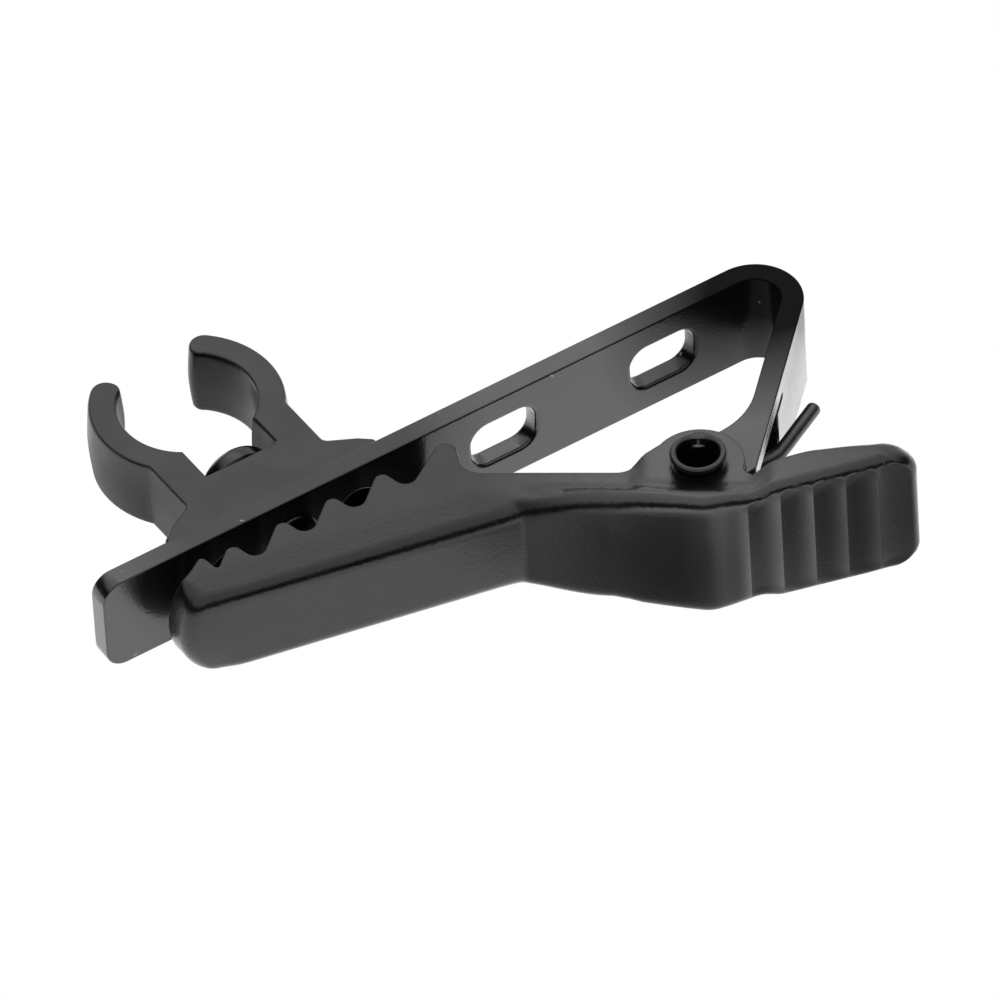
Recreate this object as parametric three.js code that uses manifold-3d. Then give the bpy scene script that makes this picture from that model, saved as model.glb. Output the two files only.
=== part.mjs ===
// Spring tie clip for a lavalier microphone, lying on its side. Millimetres, +Z up.
// +X runs along the clip from the mouth of its jaws to the thumb end, +Y from the jaw towards the
// microphone holder, and +Z across the clip's width. The origin is under the middle of the clip.
import * as THREE from 'three';
import { mergeVertices } from 'three/addons/utils/BufferGeometryUtils.js';
import Module from 'manifold-3d';

const wasm = await Module();
wasm.setup();

const RAD = Math.PI / 180;
const ARC_STEP = 15;            // degrees between points on a round stretch

// Driving dimensions. In plan, x is measured from the strip's front end and y from its outer face;
// z is measured from the middle of the clip's width.
const STRIP_W = 6.0;            // width of the bent steel strip
const STRIP_T = 1.25;           // its thickness
const STRIP_CORNER_R = 1.2;     // rounded corners of its front end
const BEND_X = 41.25;           // centre of the rear bend
const BEND_R = 2.75;            // outside radius of the bend
const LEG_ANGLE = 45;           // angle between the bar and the leg that comes back from the bend
const SLOT_X = [25.8, 36.2];    // centres of the two slots in the bar
const SLOT_L = 4.2;
const SLOT_W = 2.9;
const SLOT_R = 1.1;
const DETENT_OFFSET = 4.2;      // two round holes, this far before and behind the holder's rivet
const DETENT_R = 1.3;

const PIVOT_X = 31.45;          // the jaw's pivot, an axis along Z
const PIVOT_Y = -12.1;
const LUG_R = 2.2;              // round end of each pivot lug of the strip
const LUG_T = 1.1;
const LUG_TOP = 9;              // its front edge leaves the leg this far above the foot of the pivot
const LUG_CORNER = [35.15, -10.95, 4.5];   // sharp corner of that edge, and the radius that rounds it
const LUG_FOOT = 0.5;           // the lug's rear edge ends this far above the foot of the pivot
const TONGUE_END = 6.2;         // the middle of the leg ends this far above the foot of the pivot
const SLIT_END = 7.6;           // the slits that free the two lugs reach up to here
const SLIT_W = 0.3;
const REACH = 60;               // longer than the clip, for cutting bodies

const NOSE_X = 3.7;             // front end of the jaw
const FRONT_HALF_W = 3.0;       // half width of the toothed part
const EAR_HALF_W = 3.5;         // half width over the two ears
const PAD_HALF_W = 4.2;         // half width of the thumb pad
const FLARE_START_X = 22.4;     // the width grows between these two
const FLARE_END_X = 26.6;
const FLARE_R = 3.0;
const PAD_CORNER_R = 2.0;       // its two rear corners
const PAD_END_X = 41.3;
const PAD_DROP = 1.7;           // the pad's inner face passes this far below the pivot
const PAD_ANGLE = -20.4;        // direction of the pad's inner face
const PAD_BACK_X = 31.8;        // a point of the pad's outer face, and that face's direction
const PAD_BACK_Y = -16.55;
const PAD_BACK_ANGLE = -16.1;
const EAR_R = 2.55;
const BAND_X = 30.5;            // on the line where the flat side of the neck and ears starts to rise
const BAND_Y = -13.6;
const BAND_ANGLE = -31;         // direction of that line
const BAND_SLOPE = 2.25;        // run of the slope for each millimetre it rises
const NECK_FROM = -11;          // the neck's flat and the ears' flat reach this far along the line
const NECK_TO = -3.2;
const EARS_FROM = -3.6;
const EARS_TO = 4.0;
const POCKET_R = 2.4;           // room for the lugs and the spring around the pivot
const SWEEP_R = 3.35;           // room for the lugs' rear corners as the jaw opens
const TOOTH_PITCH = 3.2;
const TOOTH_X = 7.7;            // the second tooth's sharp corner, before rounding
const TOOTH_COUNT = 4;
const TIP_Y = -1.94;            // sharp corners of a tooth's tip and of the valley behind it
const VALLEY_Y = -4.2;
const VALLEY_STEP = 0.53;
const TIP_R = 0.48;
const VALLEY_R = 0.6;
const RIB_COUNT = 5;
const RIB_X = 31.7;             // crest of the first thumb rib
const RIB_PITCH = 1.78;
const RIB_DEPTH = 0.3;
const RIB_STEP = 0.12;          // length over which each rib falls off behind its crest

const RIVET_R = 1.2;            // outside of the tubular pivot rivet
const RIVET_BORE_R = 0.93;
const RIVET_LIP_R = 1.58;
const RIVET_LIP_H = 0.7;
const RUN_FIT = 0.05;           // radial clearance of the running fits
const FACE_GAP = 0.05;          // clearance between faces that slide on each other

const WIRE_R = 0.38;            // torsion spring wire
const COIL_R = 1.64;            // mean radius of the coil
const COIL_PITCH = 0.8;
const COIL_TURNS = 2;           // whole turns, besides the part turn between the two legs
const COIL_Z = -0.5;            // height of the leg that bears on the strip
const PAD_LEG_L = 8;            // length of the leg that bears on the pad
const GROOVE_GAP = 0.1;         // room on each side of that leg in the pad

const HOLDER_X = 12.1;          // swivel axis of the microphone holder, along Y
const HOLDER_W = 4.4;
const BORE_Y = 9.3;             // centre of the microphone bore
const BORE_R = 3.86;
const ARM_T = 1.54;
const MOUTH_HALF_ANGLE = 34;    // each arm ends this far from straight up
const TIP_TURN = 18;            // the arm's outer face starts this many degrees below its tip
const TIP_CORNER_R = 0.5;
const LEG_INNER = 2.27;         // faces of the holder's legs, from the swivel axis
const LEG_OUTER = 4.42;
const HEAD_SEAT_Y = 3.8;        // floor between the legs, where the rivet's head sits
const SHOULDER_Y = 2.4;
const FOOT_HALF_L = 6.75;

const PIN_R = 1.15;             // shank of the holder's rivet
const PIN_HEAD_R = 2.2;
const PIN_HEAD_H = 1.55;
const PIN_TAIL_R = 1.65;
const PIN_TAIL_H = 0.2;

// Plan outlines -------------------------------------------------------------------------------

// Points of an arc, angles in degrees.
function arc(cx, cy, r, from, to) {
  const steps = Math.max(2, Math.ceil(Math.abs(to - from) / ARC_STEP));
  return Array.from({ length: steps + 1 }, (_, k) => {
    const angle = (from + ((to - from) * k) / steps) * RAD;
    return [cx + r * Math.cos(angle), cy + r * Math.sin(angle)];
  });
}

// An outline through corners [x, y] or [x, y, radius], each rounded by its own radius.
function rounded(corners) {
  const points = [];
  corners.forEach(([x, y, r = 0], i) => {
    if (r === 0) {
      points.push([x, y]);
      return;
    }
    const corner = new THREE.Vector2(x, y);
    const before = corners.at(i - 1);
    const after = corners[(i + 1) % corners.length];
    const back = new THREE.Vector2(before[0] - x, before[1] - y).normalize();
    const ahead = new THREE.Vector2(after[0] - x, after[1] - y).normalize();
    const half = Math.acos(back.dot(ahead)) / 2;
    const middle = back.clone().add(ahead).setLength(r / Math.sin(half));
    const centre = corner.clone().add(middle);
    const start = corner.clone().addScaledVector(back, r / Math.tan(half)).sub(centre);
    const end = corner.clone().addScaledVector(ahead, r / Math.tan(half)).sub(centre);
    const from = start.angle() / RAD;
    const sweep = Math.atan2(start.cross(end), start.dot(end)) / RAD;
    points.push(...arc(centre.x, centre.y, r, from, from + sweep));
  });
  return points;
}

// Solids --------------------------------------------------------------------------------------

function prism(points, z0, z1) {
  const shape = new THREE.Shape(points.map(([x, y]) => new THREE.Vector2(x, y)));
  const geometry = new THREE.ExtrudeGeometry(shape, { depth: z1 - z0, bevelEnabled: false });
  return geometry.translate(0, 0, z0);
}

// A prism whose outline is drawn in x and z, standing between two values of y.
function prismY(points, y0, y1) {
  return prism(points.map(([x, z]) => [x, -z]), y0, y1).rotateX(-Math.PI / 2);
}

function cylinderZ(x, y, r, z0, z1) {
  const geometry = new THREE.CylinderGeometry(r, r, z1 - z0, 32);
  return geometry.rotateX(Math.PI / 2).translate(x, y, (z0 + z1) / 2);
}

function cylinderY(x, r, y0, y1) {
  return new THREE.CylinderGeometry(r, r, y1 - y0, 32).translate(x, (y0 + y1) / 2, 0);
}

function solid(geometry) {
  const plain = geometry.clone();
  plain.deleteAttribute('normal');
  plain.deleteAttribute('uv');
  const merged = mergeVertices(plain, 1e-5);
  return new wasm.Manifold(new wasm.Mesh({
    numProp: 3,
    vertProperties: Float32Array.from(merged.attributes.position.array),
    triVerts: Uint32Array.from(merged.index.array),
  }));
}

function geometryOf(manifold) {
  const mesh = manifold.getMesh();
  const geometry = new THREE.BufferGeometry();
  geometry.setAttribute('position', new THREE.BufferAttribute(mesh.vertProperties, 3));
  geometry.setIndex(new THREE.BufferAttribute(mesh.triVerts, 1));
  geometry.computeVertexNormals();
  return geometry;
}

// The strip's leg: u runs up it from the foot of the perpendicular from the pivot, and depth runs
// from its rear face towards the pivot.
const legUp = [Math.cos(LEG_ANGLE * RAD), Math.sin(LEG_ANGLE * RAD)];
const legIn = [-legUp[1], legUp[0]];
const bendEdge = [BEND_X - BEND_R * legIn[0], -BEND_R - BEND_R * legIn[1]];
const footU = (PIVOT_X - bendEdge[0]) * legUp[0] + (PIVOT_Y - bendEdge[1]) * legUp[1];
const foot = [bendEdge[0] + footU * legUp[0], bendEdge[1] + footU * legUp[1]];

function onLeg(u, depth) {
  return [
    foot[0] + u * legUp[0] + depth * legIn[0],
    foot[1] + u * legUp[1] + depth * legIn[1],
  ];
}

function legPrism(u0, u1, depth0, depth1, z0, z1) {
  const outline = [onLeg(u0, depth0), onLeg(u1, depth0), onLeg(u1, depth1), onLeg(u0, depth1)];
  return solid(prism(outline, z0, z1));
}

// Parts ---------------------------------------------------------------------------------------

// Bent steel strip: slotted bar, rear bend, and a leg whose two lugs carry the jaw's pivot.
function clipStrip() {
  const half = STRIP_W / 2;
  const lugZ = half - LUG_T;
  const inner = BEND_R - STRIP_T;
  const legEnd = TONGUE_END / 2;
  let strip = solid(prism([
    [0, -STRIP_T],
    [BEND_X, -STRIP_T],
    ...arc(BEND_X, -BEND_R, inner, 90, LEG_ANGLE - 90).slice(1),
    onLeg(legEnd, STRIP_T),
    onLeg(legEnd, 0),
    ...arc(BEND_X, -BEND_R, BEND_R, LEG_ANGLE - 90, 90),
    [0, 0],
  ], -half, half));

  const lugEnd = arc(PIVOT_X, PIVOT_Y, LUG_R, 70, 250);
  const front = rounded([onLeg(LUG_TOP, STRIP_T), LUG_CORNER, lugEnd[0]]).slice(0, -1);
  const lugOutline = [...front, ...lugEnd, onLeg(LUG_FOOT, 0), onLeg(LUG_TOP, 0)];
  strip = strip.subtract(legPrism(0, TONGUE_END, -1, STRIP_T + 1, -lugZ, lugZ));
  for (const side of [-1, 1]) {
    const z = [side * lugZ, side * half].sort((a, b) => a - b);
    strip = strip.add(solid(prism(lugOutline, ...z)));
    const slit = [side * (lugZ - SLIT_W), side * lugZ].sort((a, b) => a - b);
    strip = strip.subtract(legPrism(0, SLIT_END, -1, STRIP_T + 0.4, ...slit));
  }

  const span = rounded([
    [0, -half, STRIP_CORNER_R],
    [REACH, -half],
    [REACH, half],
    [0, half, STRIP_CORNER_R],
  ]);
  strip = strip.intersect(solid(prismY(span, -REACH, REACH)));
  for (const x of SLOT_X) {
    const slot = rounded([[-1, -1], [1, -1], [1, 1], [-1, 1]].map(([i, j]) => [
      x + (i * SLOT_L) / 2,
      (j * SLOT_W) / 2,
      SLOT_R,
    ]));
    strip = strip.subtract(solid(prismY(slot, -STRIP_T - 1, 1)));
  }
  for (const x of [HOLDER_X - DETENT_OFFSET, HOLDER_X + DETENT_OFFSET]) {
    strip = strip.subtract(solid(cylinderY(x, DETENT_R, -STRIP_T - 1, 1)));
  }
  strip = strip.subtract(solid(cylinderY(HOLDER_X, PIN_R + RUN_FIT, -STRIP_T - 1, 1)));
  strip = strip.subtract(solid(cylinderZ(PIVOT_X, PIVOT_Y, RIVET_R + RUN_FIT, -REACH, REACH)));
  return geometryOf(strip);
}

// Toothed lower jaw with two ears on the pivot and a ribbed thumb pad.
function lowerJaw() {
  const padTop = (x) => {
    const onPivot = PIVOT_Y - PAD_DROP / Math.cos(PAD_ANGLE * RAD);
    return onPivot + Math.tan(PAD_ANGLE * RAD) * (x - PIVOT_X);
  };
  const padBack = (x) => PAD_BACK_Y + Math.tan(PAD_BACK_ANGLE * RAD) * (x - PAD_BACK_X);

  const teeth = [];
  for (let i = 0; i < TOOTH_COUNT; i += 1) {
    const x = TOOTH_X + i * TOOTH_PITCH;
    teeth.push([x, TIP_Y, TIP_R], [x + VALLEY_STEP, VALLEY_Y, VALLEY_R]);
  }
  const ribs = [];
  for (let i = RIB_COUNT - 1; i >= 0; i -= 1) {
    const x = RIB_X + i * RIB_PITCH;
    ribs.push([x + RIB_STEP, padBack(x) + RIB_DEPTH], [x, padBack(x)]);
  }
  const ear = arc(PIVOT_X, PIVOT_Y, EAR_R, 112, -50);
  const outline = rounded([
    [NOSE_X, -5.0, 1.1],
    [NOSE_X, -3.25, 0.4],
    [5.72, -1.96, TIP_R],
    [6.02, -3.38, 0.2],
    ...teeth,
    [22.3, -1.37, 0.6],
    [20.87, -5.2, 1.35],
    [28.2, -10.5, 1.0],
    ...ear,
    [33.3, padTop(33.3)],
    [PAD_END_X, padTop(PAD_END_X), 0.5],
    [PAD_END_X, padBack(PAD_END_X), 0.5],
    ...ribs,
    [29.5, -15.8, 2.0],
    [25.5, -12.15, 3.0],
    [21.8, -9.2, 0.6],
  ]);

  // The width flares from the crease to the pad, whose two rear corners are round.
  const widths = rounded([
    [NOSE_X - 1, -FRONT_HALF_W],
    [FLARE_START_X, -FRONT_HALF_W, FLARE_R],
    [FLARE_END_X, -PAD_HALF_W, FLARE_R],
    [PAD_END_X, -PAD_HALF_W, PAD_CORNER_R],
    [PAD_END_X, PAD_HALF_W, PAD_CORNER_R],
    [FLARE_END_X, PAD_HALF_W, FLARE_R],
    [FLARE_START_X, FRONT_HALF_W, FLARE_R],
    [NOSE_X - 1, FRONT_HALF_W],
  ]);
  let jaw = solid(prism(outline, -PAD_HALF_W, PAD_HALF_W));
  jaw = jaw.intersect(solid(prismY(widths, -REACH, REACH)));

  // Above a slanted band the sides are flat: the ears stand a little proud of the neck.
  const along = new THREE.Vector3(Math.cos(BAND_ANGLE * RAD), Math.sin(BAND_ANGLE * RAD), 0);
  const up = new THREE.Vector3(0, 0, 1);
  const across = new THREE.Vector3().crossVectors(up, along);
  const onBand = new THREE.Matrix4().makeBasis(across, up, along).setPosition(BAND_X, BAND_Y, 0);
  const top = PAD_HALF_W + 1;
  const flats = [[FRONT_HALF_W, NECK_FROM, NECK_TO], [EAR_HALF_W, EARS_FROM, EARS_TO]];
  for (const side of [-1, 1]) {
    for (const [flatZ, from, to] of flats) {
      const section = [[0, flatZ], [REACH, flatZ], [REACH, top], [-BAND_SLOPE * (top - flatZ), top]];
      const relief = prism(section.map(([n, z]) => [n, side * z]), from, to);
      jaw = jaw.subtract(solid(relief.applyMatrix4(onBand)));
    }
  }

  // Pocket between the ears, with room behind it for the lugs' rear corners.
  const inside = STRIP_W / 2 + FACE_GAP;
  const sweep = [[PIVOT_X, PIVOT_Y], ...arc(PIVOT_X, PIVOT_Y, SWEEP_R, -82, 100)];
  jaw = jaw.subtract(solid(cylinderZ(PIVOT_X, PIVOT_Y, POCKET_R, -inside, inside)));
  jaw = jaw.subtract(solid(prism(sweep, -inside, inside)));

  // Groove under the spring leg that bears on the pad.
  const legZ = COIL_Z + coilRise();
  const grooveY = -COIL_R - WIRE_R - FACE_GAP;
  const grooveEnd = PAD_LEG_L + 4 * GROOVE_GAP;
  const grooveHalfW = WIRE_R + GROOVE_GAP;
  const grooveOutline = [[0, grooveY], [grooveEnd, grooveY], [grooveEnd, 0], [0, 0]];
  const groove = prism(grooveOutline, legZ - grooveHalfW, legZ + grooveHalfW);
  groove.rotateZ(PAD_ANGLE * RAD).translate(PIVOT_X, PIVOT_Y, 0);
  jaw = jaw.subtract(solid(groove));

  jaw = jaw.subtract(solid(cylinderZ(PIVOT_X, PIVOT_Y, RIVET_R + RUN_FIT, -REACH, REACH)));
  return geometryOf(jaw);
}

// Tubular rivet with a rolled lip at each end.
function pivotRivet() {
  const seat = EAR_HALF_W + FACE_GAP;
  const top = seat + RIVET_LIP_H;
  const curl = RIVET_LIP_H / 2;
  const half = [
    [RIVET_R, seat],
    [RIVET_LIP_R - curl * 0.4, seat],
    [RIVET_LIP_R, seat + curl * 0.6],
    [RIVET_LIP_R - curl * 0.3, top - curl * 0.3],
    [RIVET_LIP_R - curl * 0.9, top],
    [RIVET_BORE_R + 0.1, top - curl * 0.5],
    [RIVET_BORE_R, top - curl * 1.4],
  ];
  const below = half.map(([r, z]) => [r, -z]).reverse();
  const profile = [...half, ...below, half[0]].map(([r, z]) => new THREE.Vector2(r, z));
  const geometry = new THREE.LatheGeometry(profile, 32);
  geometry.rotateX(Math.PI / 2).translate(PIVOT_X, PIVOT_Y, 0);
  return geometryOf(solid(geometry));
}

// The coil starts under the strip's leg and ends over the pad, so it makes a part turn as well.
function coilSweep() {
  return 360 * COIL_TURNS + 270 + PAD_ANGLE - 90;
}

function coilRise() {
  return (COIL_PITCH * coilSweep()) / 360;
}

// Torsion spring on the rivet: one leg bears on the end of the strip's tongue, the other on the pad.
function torsionSpring() {
  const at = (x, y, z) => new THREE.Vector3(PIVOT_X + x, PIVOT_Y + y, z);
  const points = [
    at(9.5, 3.25, COIL_Z),
    at(7.7, 2.3, COIL_Z),
    at(6.4, 1.62, COIL_Z),
    at(5.6, 1.4, COIL_Z),
    at(2.8, 1.52, COIL_Z),
  ];
  const sweep = coilSweep();
  const steps = Math.round(sweep / 22.5);
  for (let i = 0; i <= steps; i += 1) {
    const angle = (90 + (sweep * i) / steps) * RAD;
    const z = COIL_Z + (coilRise() * i) / steps;
    points.push(at(COIL_R * Math.cos(angle), COIL_R * Math.sin(angle), z));
  }
  const end = points.at(-1);
  const padLeg = new THREE.Vector3(Math.cos(PAD_ANGLE * RAD), Math.sin(PAD_ANGLE * RAD), 0);
  points.push(end.clone().addScaledVector(padLeg, PAD_LEG_L / 3));
  points.push(end.clone().addScaledVector(padLeg, PAD_LEG_L));
  const section = new THREE.Shape().absarc(0, 0, WIRE_R, 0, 2 * Math.PI);
  const geometry = new THREE.ExtrudeGeometry(section, {
    steps: 110,
    curveSegments: 8,
    bevelEnabled: false,
    extrudePath: new THREE.CatmullRomCurve3(points, false, 'centripetal'),
  });
  return geometryOf(solid(geometry));
}

// Moulded snap holder: a foot on the strip, two legs, and two arms around the microphone.
function micHolder() {
  const outer = BORE_R + ARM_T;
  const tipAngle = 90 + MOUTH_HALF_ANGLE;
  const boreFoot = 180 + Math.acos(LEG_INNER / BORE_R) / RAD;
  const armFoot = 180 + Math.acos(LEG_OUTER / outer) / RAD;
  const bore = arc(0, BORE_Y, BORE_R, boreFoot, tipAngle);
  const arm = arc(0, BORE_Y, outer, tipAngle + TIP_TURN, armFoot);
  const tip = arc(0, BORE_Y, outer, tipAngle, tipAngle + 1)[0];
  const leftHalf = [
    [0, HEAD_SEAT_Y],
    [-LEG_INNER, HEAD_SEAT_Y],
    ...bore,
    ...rounded([bore.at(-1), [...tip, TIP_CORNER_R], arm[0]]).slice(1, -1),
    ...arm,
    [-LEG_OUTER, SHOULDER_Y],
    [-FOOT_HALF_L + 0.7, 1.55],
    [-FOOT_HALF_L, 1.1],
    [-FOOT_HALF_L, FACE_GAP],
  ];
  const rightHalf = leftHalf.slice(1).map(([x, y]) => [-x, y]).reverse();
  const outline = [...leftHalf, ...rightHalf].map(([x, y]) => [x + HOLDER_X, y]);
  let holder = solid(prism(outline, -HOLDER_W / 2, HOLDER_W / 2));
  holder = holder.subtract(solid(cylinderY(HOLDER_X, PIN_R + RUN_FIT, -1, HEAD_SEAT_Y + 1)));
  return geometryOf(holder);
}

// Rivet that the holder swivels on, with a tall button head and a flat peened tail.
function holderRivet() {
  const tailTop = -STRIP_T - FACE_GAP;
  const seat = HEAD_SEAT_Y + FACE_GAP;
  const rim = PIN_HEAD_H * 0.4;
  const crown = [0, 22, 45, 68, 90].map((angle) => [
    PIN_HEAD_R * Math.cos(angle * RAD) ** 0.8,
    seat + rim + (PIN_HEAD_H - rim) * Math.sin(angle * RAD),
  ]);
  const profile = [
    [0, tailTop - PIN_TAIL_H],
    [PIN_TAIL_R - PIN_TAIL_H, tailTop - PIN_TAIL_H],
    [PIN_TAIL_R, tailTop],
    [PIN_R, tailTop],
    [PIN_R, seat],
    [PIN_HEAD_R, seat],
    ...crown.slice(0, -1),
    [0, seat + PIN_HEAD_H],
  ].map(([r, y]) => new THREE.Vector2(r, y));
  return geometryOf(solid(new THREE.LatheGeometry(profile, 32).translate(HOLDER_X, 0, 0)));
}

// Assembly ------------------------------------------------------------------------------------

const finishes = {
  steel: { color: 0x26272a, roughness: 0.45, metalness: 0.3 },
  casting: { color: 0x2a2b2e, roughness: 0.55, metalness: 0.1 },
  rivet: { color: 0x1a1a1c, roughness: 0.3, metalness: 0.6 },
  spring: { color: 0x3a3a3c, roughness: 0.4, metalness: 0.8 },
  plastic: { color: 0x2c2c2e, roughness: 0.65, metalness: 0 },
};

function part(name, geometry, finish) {
  const mesh = new THREE.Mesh(geometry, new THREE.MeshStandardMaterial(finishes[finish]));
  mesh.name = name;
  return mesh;
}

const clip = new THREE.Group();
clip.add(
  part('clip_strip', clipStrip(), 'steel'),
  part('lower_jaw', lowerJaw(), 'casting'),
  part('pivot_rivet', pivotRivet(), 'rivet'),
  part('torsion_spring', torsionSpring(), 'spring'),
  part('mic_holder', micHolder(), 'plastic'),
  part('holder_rivet', holderRivet(), 'rivet'),
);

// The frame's origin is on the floor, under the middle of the clip's box.
const box = new THREE.Box3().setFromObject(clip);
const middle = box.getCenter(new THREE.Vector3());
clip.position.set(-middle.x, -middle.y, -box.min.z);

export default clip;
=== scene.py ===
import math

import bmesh
import bpy
from mathutils import Matrix, Vector
from mathutils.geometry import delaunay_2d_cdt

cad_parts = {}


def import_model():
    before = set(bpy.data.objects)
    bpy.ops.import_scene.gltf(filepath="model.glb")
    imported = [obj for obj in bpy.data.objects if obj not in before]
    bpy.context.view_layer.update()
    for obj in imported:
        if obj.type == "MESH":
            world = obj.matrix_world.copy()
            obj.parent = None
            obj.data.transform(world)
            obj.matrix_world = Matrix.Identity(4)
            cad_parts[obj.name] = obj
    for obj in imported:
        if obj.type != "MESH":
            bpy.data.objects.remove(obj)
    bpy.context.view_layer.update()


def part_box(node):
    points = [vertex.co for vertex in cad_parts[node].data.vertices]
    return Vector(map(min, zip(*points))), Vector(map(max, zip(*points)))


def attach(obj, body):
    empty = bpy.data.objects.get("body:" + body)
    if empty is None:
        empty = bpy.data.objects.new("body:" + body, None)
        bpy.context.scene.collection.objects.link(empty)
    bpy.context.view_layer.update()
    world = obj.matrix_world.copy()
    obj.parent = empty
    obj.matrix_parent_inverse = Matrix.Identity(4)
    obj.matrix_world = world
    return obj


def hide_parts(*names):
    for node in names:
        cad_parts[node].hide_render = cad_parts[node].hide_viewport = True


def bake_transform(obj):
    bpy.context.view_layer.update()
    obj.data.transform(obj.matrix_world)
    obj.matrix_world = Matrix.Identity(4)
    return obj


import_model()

# Plan coordinates are in millimetres: x from the strip's front end, y from its outer face, z from mid
# width. Corners are (x, y, radius, edge), where edge is the radius of the long edge there.
MM = 0.001
STRIP_LO, STRIP_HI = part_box("clip_strip")
ORIGIN = Vector((STRIP_LO[0], STRIP_HI[1], (STRIP_LO[2] + STRIP_HI[2]) / 2))
FIT = 0.05                                     # gap between pieces that bear on each other

# Strip
STRIP_W, STRIP_T, STRIP_CORNER_R = 6.0, 1.25, 1.2
STRIP_EDGE, SLOT_EDGE = 0.1, 0.22
BEND_X, BEND_R, LEG_ANGLE = 41.25, 2.75, math.radians(45)
SLOT_X, SLOT_L, SLOT_W, SLOT_R = (25.8, 36.2), 4.2, 2.9, 1.1
SLOT_SPAN = (20.0, 40.0)                       # both slots lie between these
BAR_POINTS = (21.0, 31.0)                      # the bar's outline has points here too
DETENT_OFFSET, DETENT_R = 4.2, 1.3
PIVOT = Vector((31.45, -12.1))
LUG_R, LUG_T, LUG_FOOT, LUG_ARC = 2.2, 1.1, 0.5, (70, 250)
LEG_FRONT = 9                                  # up the leg, where its inner face ends
LEG_CORNER = (35.15, -10.95, 4.5, 0)           # the turn from there to the lug
LUG_GAP, LUG_GAP_DEPTH = 9.3, 5.8
TONGUE_END, SLIT_END, SLIT_W = 6.2, 7.6, 0.3
PAST_END = -12                                 # down the leg, past its end

# Jaw
NOSE_X, NOSE_R, NOSE_L, NOSE_TOP = 2.9, 3.35, 3.6, 0.65
FRONT_Z, EAR_Z, PAD_Z = 3.0, 3.5, 4.2          # half widths of the toothed part, the ears and the pad
FLARE_X = (21.5, 25.8)
UNDER_X, UNDER_Y = 3.7, -5.0                   # front of the jaw's straight under edge
CREASE_X, CREASE_Y = 21.8, -9.2                # rear of it
DRAFT, DRAFT_REACH, DRAFT_END, DRAFT_FADE = 0.18, 3, 20, 5
EAR_RISE, PAD_RISE = (-3.9, 0.9), (2.6, 1.6)   # along the slope: where each rise starts and its length
SLOPE_W, SLOPE_ANGLE = 1.5, math.radians(-38)
PAD_END_X, PAD_END_R, PAD_ROUND_L = 41.3, 1.4, 3.4
PAD_ANGLE, PAD_DROP = math.radians(-20.4), 1.7
PAD_FOOT_X, PAD_CROWN_X, PAD_CROWN, PAD_CROWN_R = 33.3, 36.3, 0.38, 5.0
BACK_X, BACK_Y, BACK_ANGLE = 31.8, -16.55, math.radians(-16.1)
EAR_R, EAR_ARC, POCKET_R = 2.55, (112, -50), 2.4
SWEEP_R, SWEEP_ARC = 3.35, (-82, 100)
POCKET_Z = STRIP_W / 2 + FIT
EDGE, TOOTH_EDGE, PAD_EDGE, RIB_EDGE = 0.95, 0.12, 0.3, 0.72
TOOTH_X, TOOTH_PITCH, TOOTH_COUNT, TOOTH_LEAN = 7.7, 3.2, 4, 0.53
TOOTH_TIP, TOOTH_ROOT = (-1.94, 0.48), (-4.2, 0.6)   # y and radius
RIB_X, RIB_PITCH, RIB_COUNT, RIB_DEPTH = 31.7, 1.78, 5, 0.17
RIB_POINTS = (0.97, 0.94, 0.85, 0.75, 0.6, 0.45, 0.3, 0.15, 0.06, 0.03, 0.0)   # shares of a rib's pitch
RIB_STOP, RIB_MARGIN = 0.4, 1.3                # no rib this near the pad's end, nor an outline point for one
REST_FADE = (math.radians(32), math.radians(25))   # the ribs run out this far round the upper and lower edge
NOSE_CORNERS = [
    (NOSE_X, -4.9, 0.95, 0.7),
    (NOSE_X, -2.85, 0.5, 0.25),
    (5.72, -1.96, 0.48, TOOTH_EDGE),
    (6.02, -3.38, 0.2, TOOTH_EDGE),
]
NECK_CORNERS = [
    (22.3, -1.37, 0.6, TOOTH_EDGE),
    (20.87, -4.85, 1.35, TOOTH_EDGE),
    (28.0, -10.0, 1.2, TOOTH_EDGE),
]
BELLY_CORNERS = [
    (29.5, -15.8, 2.0, RIB_EDGE),
    (25.5, -12.15, 3.0, EDGE),
    (CREASE_X, CREASE_Y, 0.6, EDGE),
]

# Pivot rivet and spring
RIVET_R, RIVET_BORE_R, RIVET_MOUTH_R, RIVET_LIP_R, RIVET_LIP_H = 1.2, 1.0, 1.15, 1.58, 0.7
BURR_ANGLE, BURR_SPREAD, BURR_IN, BURR_UP, BURR_WAVE = 1.0, 0.42, 0.45, 0.3, 0.03
WIRE_R, COIL_R, COIL_PITCH, COIL_Z = 0.38, 1.64, 0.8, -0.5
WIRE_EXTRA = 0.03                              # added to the drawn wire's radius
COIL_SWEEP = math.radians(360 * 2 + 270 - 90) + PAD_ANGLE
COIL_RISE = COIL_PITCH * COIL_SWEEP / math.tau
LEAD = [(9.5, 3.25), (7.7, 2.3), (6.4, 1.62), (5.6, 1.4), (2.8, 1.52)]   # strip leg's wire, from the pivot
PAD_WIRE = (2.5, 8)                            # points along the pad leg's wire
GROOVE_L = 8.4

# Holder and its rivet
HOLDER_X, HOLDER_Z, BORE_Y, BORE_R, ARM_T = 12.1, 2.2, 9.3, 3.86, 1.54
HOLDER_EDGE, HOLDER_SWELL = 0.16, 0.16
MOUTH, BORE_START = math.radians(34), 234
LEG_INNER, LEG_OUTER, HEAD_SEAT_Y = 2.27, 4.42, 3.8
SEAT_FADE = (4.8, 6.2)                         # between the legs the swelling starts and is full at these y
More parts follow.
